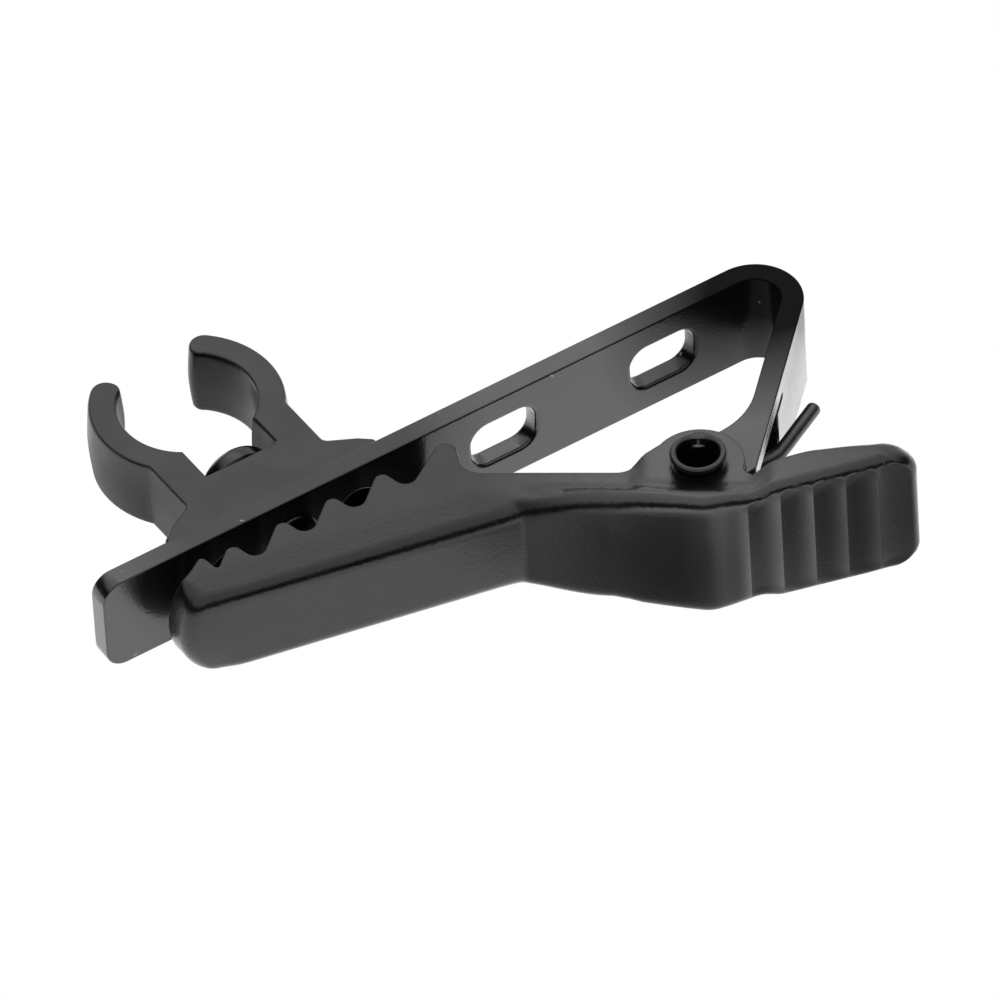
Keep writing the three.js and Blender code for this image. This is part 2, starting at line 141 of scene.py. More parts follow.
# x from the holder's middle, y and radius
HOLDER_FOOT = [(-LEG_OUTER, 2.4, 0.5), (-6.05, 1.5, 0.6), (-6.75, 0.9, 0.3), (-6.75, FIT, 0.1)]
PIN_R, PIN_HEAD_R, PIN_HEAD_H, PIN_TAIL_R, PIN_TAIL_H = 1.15, 2.2, 1.55, 1.65, 0.2
PIN_RIM = PIN_HEAD_H * 0.4

# Looks
CLOUD_SCALE, CHIP_SCALE, CHIP_RANGE, CHIP_COLOUR = 260, 1500, (0.74, 0.78), (0.45, 0.44, 0.42, 1)
TONE_RANGE, ROUGH_RANGE, RELIEF_DEPTH = (0.8, 1.2), (0.82, 1.18), 0.00004
RIB_PAINTED_SHINE, FLARE_PAINTED_SHADE = (-0.58, 0.82), -0.55  # painted shade to painted highlight across a rib, and painted shade on the flare, as shares of the shine
# Where the flare's painted shade lies: between these x, and from about the crease along this direction
FLARE_SHADE_ENDS, FLARE_SHADE_DOWN = (21.6, 29.6), (-0.651, -0.759, 0)

# Set, light and camera
FLOOR_SIZE, FLOOR_LIGHT = 3.0, 1.9
FLOOR_PATCHES = [   # plan point, inner and outer radius in millimetres, change in brightness
    ((24.5, -18.5), (2.5, 9.0), -1.3),
    ((38.0, -26.0), (3.0, 12.0), -1.2),
    ((50.0, 3.0), (4.0, 18.0), 0.15),
    ((9.0, 9.0), (5.0, 13.0), -0.9),
]
SKY = 0.02
LOBES = [   # direction towards the light, cosine where it starts, cosine where it is full, strength
    ((0.0, 0.0, 1.0), 0.52, 0.7, 1.3),
    ((0.36, 0.62, 0.70), 0.6, 0.95, 0.28),
    ((0.5, 0.85, 0.1), 0.5, 0.85, 0.9),
]
CAMERA_AZ, CAMERA_EL, CAMERA_ROLL = math.radians(-30.7), math.radians(44.07), math.radians(-3.6)
CAMERA_TARGET, CAMERA_REACH = (22.905, -5.211, 0), 1.1225
CAMERA_LENS, CAMERA_SENSOR = 743.9, 36
GAMMA = 0.82


def place(point):
    return ORIGIN + Vector(point) * MM


def smooth(t):
    t = min(1.0, max(0.0, t))
    return t * t * (3 - 2 * t)


# Outlines -----------------------------------------------------------------------------------------

def arc(cx, cy, r, start, end, step=6):
    """Points of an arc, angles in degrees."""
    steps = max(2, math.ceil(abs(end - start) / step))
    angles = [math.radians(start + (end - start) * k / steps) for k in range(steps + 1)]
    return [(cx + r * math.cos(a), cy + r * math.sin(a)) for a in angles]


def rounded(corners, step=6):
    """Outline through the corners, as points (x, y, edge)."""
    points = []
    for i, (x, y, r, edge) in enumerate(corners):
        corner = Vector((x, y))
        if r == 0:
            points.append((x, y, edge))
            continue
        back = (Vector(corners[i - 1][:2]) - corner).normalized()
        ahead = (Vector(corners[(i + 1) % len(corners)][:2]) - corner).normalized()
        half = back.angle(ahead) / 2
        centre = corner + (back + ahead).normalized() * (r / math.sin(half))
        start = corner + back * (r / math.tan(half)) - centre
        end = corner + ahead * (r / math.tan(half)) - centre
        sweep = math.atan2(start.x * end.y - start.y * end.x, start.dot(end))
        first = math.degrees(math.atan2(start.y, start.x))
        for px, py in arc(*centre, r, first, first + math.degrees(sweep), step):
            points.append((px, py, edge))
    return points


def filled(points, gap):
    """The closed outline with points added so that no two are further apart than gap."""
    out = []
    for a, b in zip(points, points[1:] + points[:1]):
        steps = max(1, math.ceil(math.dist(a[:2], b[:2]) / gap))
        out += [tuple(u + (v - u) * k / steps for u, v in zip(a, b)) for k in range(steps)]
    return out


def inward(points):
    """Unit vectors into the closed outline at each of its points."""
    area = sum(a[0] * b[1] - b[0] * a[1] for a, b in zip(points, points[1:] + points[:1]))
    turn = 1 if area > 0 else -1
    normals = []
    for i, p in enumerate(points):
        before, after = Vector(points[i - 1][:2]), Vector(points[(i + 1) % len(points)][:2])
        here = Vector(p[:2])
        along = (here - before).normalized() + (after - here).normalized()
        normals.append(Vector((-along.y, along.x)).normalized() * turn)
    return normals


# Meshes -------------------------------------------------------------------------------------------

def mesh_object(name, points, faces):
    mesh = bpy.data.meshes.new(name)
    mesh.from_pydata([place(p) for p in points], [], faces)
    bm = bmesh.new()
    bm.from_mesh(mesh)
    bmesh.ops.recalc_face_normals(bm, faces=bm.faces)
    bm.to_mesh(mesh)
    bm.free()
    obj = bpy.data.objects.new(name, mesh)
    bpy.context.collection.objects.link(obj)
    return obj


def prism(points, low, high, axis="z"):
    """A plain prism; with axis y the points are x and z, and it stands between two values of y."""
    n = len(points)
    lift = (lambda p, h: (p[0], p[1], h)) if axis == "z" else (lambda p, h: (p[0], h, p[1]))
    vertices = [lift(p, low) for p in points] + [lift(p, high) for p in points]
    sides = [(i, (i + 1) % n, n + (i + 1) % n, n + i) for i in range(n)]
    return mesh_object("cutter", vertices, [tuple(range(n)), tuple(range(n, 2 * n))] + sides)


def round_bar(cx, cy, r, low, high, axis="z"):
    return prism(arc(cx, cy, r, 0, 360, 5)[:-1], low, high, axis)


def rounded_bar(corners, low, high):
    """A prism along y through (x, z, radius) corners."""
    outline = rounded([(x, z, r, 0) for x, z, r in corners], 10)
    return prism([p[:2] for p in outline], low, high, "y")


def combine(obj, others, operation):
    for other in others:
        step = obj.modifiers.new("combine", "BOOLEAN")
        step.operation = operation
        step.solver = "EXACT"
        step.object = other
    bake(obj)
    for other in others:
        bpy.data.objects.remove(other)


def bake(obj):
    """Applies the object's modifiers."""
    view = bpy.context.evaluated_depsgraph_get()
    mesh = bpy.data.meshes.new_from_object(obj.evaluated_get(view))
    obj.modifiers.clear()
    obj.data = mesh


def shade(obj, sharp=38):
    obj.data.shade_smooth()
    obj.data.set_sharp_from_angle(angle=math.radians(sharp))
    flat = obj.modifiers.new("flat faces", "WEIGHTED_NORMAL")
    flat.keep_sharp = True
    bake(obj)


def soften(obj, size, picked=None, sharp=35, segments=3):
    """Rounds the sharp edges whose middle, in plan millimetres, picked accepts."""
    bm = bmesh.new()
    bm.from_mesh(obj.data)
    edges = []
    for e in bm.edges:
        if len(e.link_faces) != 2 or e.calc_face_angle(0) < math.radians(sharp):
            continue
        middle = ((e.verts[0].co + e.verts[1].co) / 2 - ORIGIN) / MM
        if picked is None or picked(middle):
            edges.append(e)
    bmesh.ops.bevel(bm, geom=edges, offset=size * MM, segments=segments, profile=0.5, affect="EDGES",
                    offset_type="OFFSET", clamp_overlap=False, miter_outer="ARC")
    bm.to_mesh(obj.data)
    bm.free()


def moulded(name, outline, height, rest, shift, swell=lambda x, y, z: 0.0):
    """A body moulded about z = 0: walls on the outline, both edges rounded, and a face at height(x, y).

    outline has points (x, y, edge). rest(x, y) is how far the wall is cut back, running out round the
    edges. shift(x, y, z) moves a finished point. swell(x, y, z) is how far the wall stands out."""
    inner = inward(outline)
    n = len(outline)
    quarter = [math.radians(90 - 15 * k) for k in range(7)]
    caps = []
    for (x, y, edge), normal in zip(outline, inner):
        at = Vector((x, y)) + normal * edge
        caps.append(height(at.x, at.y))

    def wall(angle, part, side, fade):
        row = []
        for i, (x, y, edge) in enumerate(outline):
            z = (caps[i] - edge) * part + edge * math.sin(angle)
            cut = rest(x, y) * smooth(1 - angle / fade)
            push = edge * (1 - math.cos(angle)) + cut - (swell(x, y, z) if angle == 0 else 0)
            at = Vector((x, y)) + inner[i] * push
            row.append((at.x, at.y, side * z))
        return row

    straight = (0.9, 0.8, 0.68, 0.5, 0.25)
    rows = [wall(angle, 1, 1, REST_FADE[0]) for angle in quarter]
    rows += [wall(0, part, 1, 1) for part in (*straight, 0.0)]
    rows += [wall(0, part, -1, 1) for part in reversed(straight)]
    rows += [wall(angle, 1, -1, REST_FADE[1]) for angle in reversed(quarter)]
    points = [p for row in rows for p in row]
    faces = []
    for k in range(len(rows) - 1):
        for i in range(n):
            j = (i + 1) % n
            faces.append((k * n + i, k * n + j, (k + 1) * n + j, (k + 1) * n + i))
    top, triangles = cap(rows[0], height)
    last = (len(rows) - 1) * n
    base = len(points)
    points += top[n:]
    faces += [tuple(i if i < n else base + i - n for i in t) for t in triangles]
    under = len(points)
    points += [(x, y, -z) for x, y, z in top[n:]]
    faces += [tuple(last + i if i < n else under + i - n for i in reversed(t)) for t in triangles]
    return mesh_object(name, [shift(*p) for p in points], faces)


def cap(rim, height, gap=0.5):
    """Triangles over a closed rim: its points, then inner points at height(x, y)."""
    n = len(rim)
    flat = [Vector(p[:2]) for p in rim]
    xs, ys = [p.x for p in flat], [p.y for p in flat]
    grid = []
    for i in range(int((max(xs) - min(xs)) / gap)):
        for j in range(int((max(ys) - min(ys)) / gap)):
            spot = Vector((min(xs) + (i + 0.5 * (j % 2) + 0.4) * gap, min(ys) + (j + 0.5) * gap))
            if min((spot - p).length_squared for p in flat) > (0.45 * gap) ** 2:
                grid.append(spot)
    loop = [(i, (i + 1) % n) for i in range(n)]
    spots, _, triangles, sources, _, _ = delaunay_2d_cdt(flat + grid, loop, [], 1, 1e-6)
    index = {}
    points = list(rim)
    for k, source in enumerate(sources):
        if source and source[0] < n:
            index[k] = source[0]
    for k in sorted({k for t in triangles for k in t}):
        if k not in index:
            index[k] = len(points)
            points.append((spots[k].x, spots[k].y, height(spots[k].x, spots[k].y)))
    return points, [tuple(index[k] for k in t) for t in triangles]


def lathe(name, profile, turn, steps=72):
    """Turns the (r, h) points of the profile about an axis; turn(r, h, angle) gives the plan point.

    The profile starts and ends on the axis, or closes on itself."""
    points = []
    for k in range(steps):
        points += [turn(r, h, math.tau * k / steps) for r, h in profile]
    n = len(profile)
    faces = []
    for k in range(steps):
        m = (k + 1) % steps
        for i in range(n):
            j = (i + 1) % n
            faces.append((k * n + i, k * n + j, m * n + j, m * n + i))
    obj = mesh_object(name, points, faces)
    weld(obj)
    return obj


def weld(obj):
    bm = bmesh.new()
    bm.from_mesh(obj.data)
    bmesh.ops.remove_doubles(bm, verts=bm.verts, dist=1e-7)
    bmesh.ops.recalc_face_normals(bm, faces=bm.faces)
    bm.to_mesh(obj.data)
    bm.free()


def tube(name, centres, radius, sides=20):
    """A round wire through the centres, its two ends slightly domed."""
    dome = [(0.12, 0.9), (0.2, 0.6)]   # distance past the end, share of the radius
    tip = (0.22, 0.02)
    across = None
    rings = []
    for i, c in enumerate(centres):
        along = (centres[min(i + 1, len(centres) - 1)] - centres[max(i - 1, 0)]).normalized()
        if across is None:
            across = along.cross(Vector((0, 0, 1))).normalized()
        across = (across - along * across.dot(along)).normalized()
        up = along.cross(across)
        sizes = [(0, radius)]
        if i in (0, len(centres) - 1):
            out = -1 if i == 0 else 1
            sizes += [(far * out, radius * share) for far, share in dome] + [(tip[0] * out, tip[1])]
            sizes = sizes if out > 0 else sizes[::-1]
        for push, r in sizes:
            ring = [math.tau * k / sides for k in range(sides)]
            rings.append([c + along * push + (across * math.cos(a) + up * math.sin(a)) * r for a in ring])
    points = [p for ring in rings for p in ring]
    faces = [tuple(range(sides)), tuple(range(len(points) - sides, len(points)))]
    for k in range(len(rings) - 1):
        for i in range(sides):
            j = (i + 1) % sides
            faces.append((k * sides + i, k * sides + j, (k + 1) * sides + j, (k + 1) * sides + i))
    return mesh_object(name, points, faces)


# Strip --------------------------------------------------------------------------------------------

LEG_UP = Vector((math.cos(LEG_ANGLE), math.sin(LEG_ANGLE)))
LEG_IN = Vector((-LEG_UP.y, LEG_UP.x))
BEND_FOOT = Vector((BEND_X, -BEND_R)) - LEG_IN * BEND_R
FOOT = BEND_FOOT + LEG_UP * (PIVOT - BEND_FOOT).dot(LEG_UP)


def on_leg(u, depth):
    """A plan point: u up the leg from beside the pivot, depth in from the leg's rear face."""
    return tuple(FOOT + LEG_UP * u + LEG_IN * depth)


def leg_block(u0, u1, depth0, depth1, z0, z1):
    corners = [(u0, depth0), (u1, depth0), (u1, depth1), (u0, depth1)]
    return prism([on_leg(*c) for c in corners], z0, z1)


def strip_outline():
    """The strip seen from the side: along its inner face to the lug, and back along its outer face."""
    bend_end = math.degrees(LEG_ANGLE) - 90
    lug_end = arc(*PIVOT, LUG_R, *LUG_ARC, 5)
    front = rounded([(*on_leg(LEG_FRONT, STRIP_T), 0, 0), LEG_CORNER, (*lug_end[0], 0, 0)], 4)
    stops = [HOLDER_X - DETENT_OFFSET, HOLDER_X, HOLDER_X + DETENT_OFFSET]
    stops += [BAR_POINTS[0], SLOT_X[0], BAR_POINTS[1], SLOT_X[1]]
    outline = [(x, -STRIP_T) for x in [0, *stops, BEND_X]]
    outline += arc(BEND_X, -BEND_R, BEND_R - STRIP_T, 90, bend_end, 4)[1:]
    outline += [p[:2] for p in front[:-1]] + lug_end + [on_leg(LUG_FOOT, 0)]
    outline += arc(BEND_X, -BEND_R, BEND_R, bend_end, 90, 4)
    return outline + [(x, 0) for x in [*reversed(stops), 0]]


def strip():
    half, lug_z = STRIP_W / 2, STRIP_W / 2 - LUG_T
    obj = prism(strip_outline(), -half, half)
    obj.name = "clip_strip_plate"
    cutters = [leg_block(PAST_END, LUG_GAP, STRIP_T, LUG_GAP_DEPTH, -lug_z, lug_z),
               leg_block(PAST_END, TONGUE_END, -1, STRIP_T + 0.3, -lug_z, lug_z)]
    for side in (-1, 1):
        low, high = sorted((side * (lug_z - SLIT_W), side * lug_z))
        cutters.append(leg_block(PAST_END, SLIT_END, -1, STRIP_T + 0.4, low, high))
    for x in SLOT_X:
        signs = ((-1, -1), (1, -1), (1, 1), (-1, 1))
        corners = [(x + i * SLOT_L / 2, j * SLOT_W / 2, SLOT_R) for i, j in signs]
        cutters.append(rounded_bar(corners, -STRIP_T - 1, 1))
    for x in (HOLDER_X - DETENT_OFFSET, HOLDER_X + DETENT_OFFSET):
        cutters.append(round_bar(x, 0, DETENT_R, -STRIP_T - 1, 1, "y"))
    cutters.append(round_bar(HOLDER_X, 0, PIN_R + FIT, -STRIP_T - 1, 1, "y"))
    cutters.append(round_bar(*PIVOT, RIVET_R + FIT, -5, 5))
    combine(obj, cutters, "DIFFERENCE")
    ends = [(0, -half, STRIP_CORNER_R), (50, -half, 0), (50, half, 0), (0, half, STRIP_CORNER_R)]
    combine(obj, [rounded_bar(ends, -25, 5)], "INTERSECT")

    def on_slot(m):
        inside = SLOT_SPAN[0] < m.x < SLOT_SPAN[1] and abs(m.z) < SLOT_W / 2 + 0.1
        return inside and m.y > -STRIP_T - 0.1

    soften(obj, SLOT_EDGE, on_slot)
    soften(obj, STRIP_EDGE)
    return obj


# Jaw ----------------------------------------------------------------------------------------------

BAND = Vector((30.5, -13.6))
BAND_ALONG = Vector((math.cos(SLOPE_ANGLE), math.sin(SLOPE_ANGLE)))
BAND_ACROSS = Vector((-BAND_ALONG.y, BAND_ALONG.x))


def pad_top(x):
    return PIVOT.y - PAD_DROP / math.cos(PAD_ANGLE) + math.tan(PAD_ANGLE) * (x - PIVOT.x)


def pad_back(x):
    return BACK_Y + math.tan(BACK_ANGLE) * (x - BACK_X)


def jaw_face(x, y):
    """Height of the jaw's side: flat front and neck, ears a little proud, a slope down to the pad's width."""
    offset = Vector((x, y)) - BAND
    along, across = offset.dot(BAND_ALONG), offset.dot(BAND_ACROSS)
    full = FRONT_Z + (PAD_Z - FRONT_Z) * smooth((x - FLARE_X[0]) / (FLARE_X[1] - FLARE_X[0]))
    under = UNDER_Y + (CREASE_Y - UNDER_Y) * (x - UNDER_X) / (CREASE_X - UNDER_X)
    full -= DRAFT * (1 - smooth((y - under) / DRAFT_REACH)) * (1 - smooth((x - DRAFT_END) / DRAFT_FADE))
    flat = FRONT_Z + (EAR_Z - FRONT_Z) * smooth((along - EAR_RISE[0]) / EAR_RISE[1])
    flat += (PAD_Z - EAR_Z) * smooth((along - PAD_RISE[0]) / PAD_RISE[1])
    down = -across / SLOPE_W
    return flat + (full - flat) * (0.5 * smooth(down) + 0.5 * min(1.0, max(0.0, down)))


def rib(x, y):
    """How far the pad's ribbed face is cut back at a point of the outline."""
    if abs(y - pad_back(x)) >= 0.06 or not RIB_X - 0.01 < x < PAD_END_X - RIB_STOP:
        return 0.0
    u = (x - RIB_X) % RIB_PITCH
    return RIB_DEPTH * (1 - (2 * u / RIB_PITCH - 1) ** 2)


def jaw_shift(x, y, z):
    """Rounds the nose and the pad's end across the width."""
    over = max(0.0, abs(z) - (PAD_Z - PAD_END_R))
    back = over ** 2 / PAD_END_R * smooth((x - PAD_END_X + PAD_ROUND_L) / PAD_ROUND_L)
    x, y = x - back * math.cos(PAD_ANGLE), y - back * math.sin(PAD_ANGLE)
    back = NOSE_R - math.sqrt(NOSE_R ** 2 - min(abs(z), FRONT_Z) ** 2)
    back *= NOSE_TOP if z > 0 else 1.0
    x += back * smooth((NOSE_X + NOSE_L - x) / NOSE_L)
    return (x, y, z)


def jaw_outline():
    teeth = []
    for i in range(TOOTH_COUNT):
        x = TOOTH_X + TOOTH_PITCH * i
        teeth += [(x, *TOOTH_TIP, TOOTH_EDGE), (x + TOOTH_LEAN, *TOOTH_ROOT, TOOTH_EDGE)]
    ribs = []
    for i in reversed(range(RIB_COUNT)):
        for part in RIB_POINTS:
            x = RIB_X + (i + part) * RIB_PITCH
            ribs.append((x, pad_back(x), 0, RIB_EDGE))
    return rounded([
        *NOSE_CORNERS,
        *teeth,
        *NECK_CORNERS,
        *[(x, y, 0, TOOTH_EDGE) for x, y in arc(*PIVOT, EAR_R, *EAR_ARC, 5)],
        (PAD_FOOT_X, pad_top(PAD_FOOT_X), 0, PAD_EDGE),
        (PAD_CROWN_X, pad_top(PAD_CROWN_X) + PAD_CROWN, PAD_CROWN_R, PAD_EDGE),
        (PAD_END_X, pad_top(PAD_END_X), 0.75, 0.55),
        (PAD_END_X, pad_back(PAD_END_X), 0.7, 0.65),
        *[r for r in ribs if r[0] < PAD_END_X - RIB_MARGIN],
        *BELLY_CORNERS,
    ])


def jaw():
    """The jaw, with the pocket for the lugs and the coil, and a groove for the spring's second leg."""
    obj = moulded("lower_jaw_body", filled(jaw_outline(), 0.4), jaw_face, rib, jaw_shift)
    sweep = [tuple(PIVOT)] + arc(*PIVOT, SWEEP_R, *SWEEP_ARC, 5)
    leg_z = COIL_Z + COIL_RISE
    turn = Matrix.Rotation(PAD_ANGLE, 2)
    low = -COIL_R - WIRE_R - FIT
    groove = [PIVOT + turn @ Vector(p) for p in ((0, low), (GROOVE_L, low), (GROOVE_L, 0), (0, 0))]
    combine(obj, [
        round_bar(*PIVOT, POCKET_R, -POCKET_Z, POCKET_Z),
        prism(sweep, -POCKET_Z, POCKET_Z),
        prism(groove, leg_z - WIRE_R - 0.1, leg_z + WIRE_R + 0.1),
        round_bar(*PIVOT, RIVET_R + FIT, -6, 6),
    ], "DIFFERENCE")
    return obj


# Small pieces -------------------------------------------------------------------------------------

def rivet():
    """A tube with a flange at each end that stands off the ear, its bore flared and burred at the mouth."""
    seat, top = EAR_Z + FIT, EAR_Z + FIT + RIVET_LIP_H
    thick = RIVET_LIP_H / 2
    lip = [(RIVET_R, seat), (RIVET_LIP_R - 0.05, seat), (RIVET_LIP_R - 0.05, seat + 0.06)]
    lip += [(RIVET_R + 0.1, seat + 0.12), (RIVET_R + 0.08, top - thick)]
    middle, half = (RIVET_LIP_R + RIVET_MOUTH_R) / 2, (RIVET_LIP_R - RIVET_MOUTH_R) / 2
    for angle in range(-60, 181, 15):
        a = math.radians(angle)
        lip.append((middle + half * math.cos(a), top - thick / 2 * (1 - math.sin(a))))
    lip += [(RIVET_BORE_R + 0.04, top - 0.45), (RIVET_BORE_R, top - 0.8)]
    profile = lip + [(r, -h) for r, h in reversed(lip)]

    def turn(r, h, angle):
        at_mouth = smooth((1.3 - r) / 0.3) * smooth((abs(h) - 3.5) / 0.4)
        burr = math.exp(-((angle - BURR_ANGLE) / BURR_SPREAD) ** 2)
        r -= at_mouth * (BURR_IN * burr + BURR_WAVE * math.sin(3 * angle + 1))
        h += math.copysign(at_mouth * BURR_UP * burr, h)
        return (PIVOT.x + r * math.cos(angle), PIVOT.y + r * math.sin(angle), h)

    return lathe("pivot_rivet_tube", profile, turn)


def between(p0, p1, p2, p3, t):
    """A point between p1 and p2 on a smooth curve through four points."""
    return 0.5 * (2 * p1 + (p2 - p0) * t + (2 * p0 - 5 * p1 + 4 * p2 - p3) * t * t
                  + (3 * p1 - p0 - 3 * p2 + p3) * t ** 3)


def spring():
    knots = [Vector((*(PIVOT + Vector(p)), COIL_Z)) for p in LEAD]
    turns = math.ceil(math.degrees(COIL_SWEEP) / 8)
    for i in range(turns + 1):
        angle = math.pi / 2 + COIL_SWEEP * i / turns
        spot = PIVOT + Vector((math.cos(angle), math.sin(angle))) * COIL_R
        knots.append(Vector((*spot, COIL_Z + COIL_RISE * i / turns)))
    pad_leg = Vector((math.cos(PAD_ANGLE), math.sin(PAD_ANGLE), 0))
    end = knots[-1].copy()
    knots += [end + pad_leg * far for far in PAD_WIRE]
    centres = []
    last = len(knots) - 1
    for i in range(last):
        near = knots[max(i - 1, 0)], knots[i], knots[i + 1], knots[min(i + 2, last)]
        steps = max(1, math.ceil((knots[i + 1] - knots[i]).length / 0.3))
        centres += [between(*near, k / steps) for k in range(steps)]
    return tube("spring_wire", centres + [knots[-1]], WIRE_R + WIRE_EXTRA)


def holder_outline():
    """Half the outline, from the middle of the seat up the inside and down the outside, and its mirror."""
    outer = BORE_R + ARM_T
    tip = 90 + math.degrees(MOUTH)
    foot_angle = 180 + math.degrees(math.acos(LEG_OUTER / outer))
    bore = arc(0, BORE_Y, BORE_R, BORE_START, tip + 12, 5)
    arm = arc(0, BORE_Y, outer, tip + 11, foot_angle, 5)

    def at_tip(r):
        return (r * math.cos(math.radians(tip)), BORE_Y + r * math.sin(math.radians(tip)))

    left = [(0, HEAD_SEAT_Y, 0), (-LEG_INNER, HEAD_SEAT_Y, 0.15)] + [(x, y, 0) for x, y in bore]
    left += [(*at_tip(BORE_R), 0.6), (*at_tip(outer), 0.8)] + [(x, y, 0) for x, y in arm]
    left += HOLDER_FOOT
    right = [(-x, y, r) for x, y, r in reversed(left[1:])]
    return rounded([(x + HOLDER_X, y, r, HOLDER_EDGE) for x, y, r in left + right])


def holder_swell(x, y, z):
    """The walls stand out at mid width, but not in the seat of the rivet's head."""
    in_seat = abs(x - HOLDER_X) < LEG_INNER + 0.01
    share = smooth((y - SEAT_FADE[0]) / (SEAT_FADE[1] - SEAT_FADE[0])) if in_seat else 1.0
    return HOLDER_SWELL * share * (1 - min(1.0, abs(z) / HOLDER_Z) ** 1.6)


def holder():
    obj = moulded("mic_holder_body", filled(holder_outline(), 0.5), lambda x, y: HOLDER_Z,
                  lambda x, y: 0.0, lambda x, y, z: (x, max(y, FIT), z), holder_swell)
    combine(obj, [round_bar(HOLDER_X, 0, PIN_R + FIT, -1, HEAD_SEAT_Y + 0.7, "y")], "DIFFERENCE")
    return obj


def holder_pin():
    """The holder's rivet: a flat tail under the strip, a shank and a domed head."""
    tail, seat = -STRIP_T - FIT, HEAD_SEAT_Y + FIT
    profile = [(0, tail - PIN_TAIL_H), (PIN_TAIL_R - 0.25, tail - PIN_TAIL_H)]
    profile += [(PIN_TAIL_R - 0.05, tail - 0.08), (PIN_TAIL_R, tail), (PIN_R, tail), (PIN_R, seat)]
    profile += [(PIN_HEAD_R - 0.08, seat), (PIN_HEAD_R, seat + 0.08)]
    for angle in range(0, 91, 10):
        a = math.radians(angle)
        r = PIN_HEAD_R * math.cos(a) ** 0.8 if angle < 90 else 0.0
        profile.append((r, seat + PIN_RIM + (PIN_HEAD_H - PIN_RIM) * math.sin(a)))
    return lathe("holder_rivet_pin", profile,
                 lambda r, h, a: (HOLDER_X + r * math.cos(a), h, r * math.sin(a)))


# Shader nodes -------------------------------------------------------------------------------------

def add_node(tree, kind, **settings):
    made = tree.nodes.new("ShaderNode" + kind)
    for key, value in settings.items():
        setattr(made, key, value)
    return made


def feed(tree, socket, value):
    """Links an output to the socket, or sets the socket's own value."""
    if isinstance(value, bpy.types.NodeSocket):
        tree.links.new(value, socket)
    else:
        socket.default_value = value


def feed_all(tree, made, **values):
    """Feeds inputs by name, with _ for a space."""
    for key, value in values.items():
        feed(tree, made.inputs[key.replace("_", " ")], value)


def noise(tree, where, scale, detail):
    made = add_node(tree, "TexNoise")
    feed_all(tree, made, Scale=scale, Detail=detail, Vector=where)
    return made.outputs["Fac"]


def maths(tree, operation, first, second=0.0):
    made = add_node(tree, "Math", operation=operation)
    feed(tree, made.inputs[0], first)
    feed(tree, made.inputs[1], second)
    return made.outputs["Value"]


def measure(tree, operation, where, vector):
    """The dot product with a vector, or the distance from a point."""
    made = add_node(tree, "VectorMath", operation=operation)
    feed(tree, made.inputs[0], where)
    feed(tree, made.inputs[1], vector)
    return made.outputs["Value"]


def spread(tree, value, low, high, start=0.3, end=0.7, kind="LINEAR"):
    """Takes start..end of the value to low..high."""
    made = add_node(tree, "MapRange", interpolation_type=kind)
    feed_all(tree, made, Value=value, From_Min=start, From_Max=end, To_Min=low, To_Max=high)
    return made.outputs["Result"]


def mix(tree, factor, a, b, data_type="FLOAT"):
    made = add_node(tree, "Mix", data_type=data_type)
    feed_all(tree, made, Factor=factor, A=a, B=b)
    return made.outputs["Result"]


def beyond(tree, where, direction, point, start, end):
    """Rises from 0 to 1 between two distances in millimetres past the plane through a plan point."""
    direction = Vector(direction).normalized()
    offset = place(point).dot(direction)
    across = measure(tree, "DOT_PRODUCT", where, direction)
    return spread(tree, across, 0.0, 1.0, offset + start * MM, offset + end * MM)


def within(tree, where, value, planes):
    """The value times a mask for each of the planes, given as (direction, point, start, end)."""
    for plane in planes:
        value = maths(tree, "MULTIPLY", value, beyond(tree, where, *plane))
    return value


def unseen(tree, strength):
    """The strength for lighting and reflections, and 1 where the camera looks straight at it."""
    seen = add_node(tree, "LightPath").outputs["Is Camera Ray"]
    return mix(tree, seen, strength, 1.0)


# Materials ----------------------------------------------------------------------------------------

def painted_rib_and_flare_shine(tree, where, sheen):
    """Painted light on the jaw's shine: across each rib it rises from painted shade in the hollow
    to a painted highlight at the next crest, and the flare has painted shade.
    """
    first = beyond(tree, where, (0, 0, 1), (0, 0, -PAD_Z), 0.5, 1.0)
    wall = within(tree, where, first, [((0, 0, -1), (0, 0, PAD_Z), 0.6, 1.3)])
    axes = add_node(tree, "SeparateXYZ")
    feed_all(tree, axes, Vector=where)
    from_rib = maths(tree, "SUBTRACT", axes.outputs["X"], place((RIB_X, 0, 0)).x)
    part = maths(tree, "FRACT", maths(tree, "DIVIDE", from_rib, RIB_PITCH * MM))
    ribs = spread(tree, maths(tree, "POWER", part, 3.0), *RIB_PAINTED_SHINE, 0.0, 1.0)
    last_rib = (RIB_X + (RIB_COUNT - 1) * RIB_PITCH, 0, 0)
    ribs = within(tree, where, maths(tree, "MULTIPLY", ribs, wall), [
        ((1, 0, 0), (RIB_X, 0, 0), -1.4, -0.6),
        ((-1, 0, 0), last_rib, -0.06, 0.0),
        ((math.sin(BACK_ANGLE), -math.cos(BACK_ANGLE), 0), (BACK_X, BACK_Y, 0), -1.2, -0.6),
    ])
    # Painted shade on the flare.
    flare = within(tree, where, wall, [
        ((1, 0, 0), (FLARE_SHADE_ENDS[0], 0, 0), 0.1, 0.4),
        ((-1, 0, 0), (FLARE_SHADE_ENDS[1], 0, 0), -1.2, 1.2),
        (FLARE_SHADE_DOWN, (CREASE_X, CREASE_Y, 0), -1.0, -0.5),
    ])
    for change in (ribs, maths(tree, "MULTIPLY", flare, FLARE_PAINTED_SHADE)):
        sheen = maths(tree, "MULTIPLY", maths(tree, "ADD", change, 1.0), sheen)
    return sheen


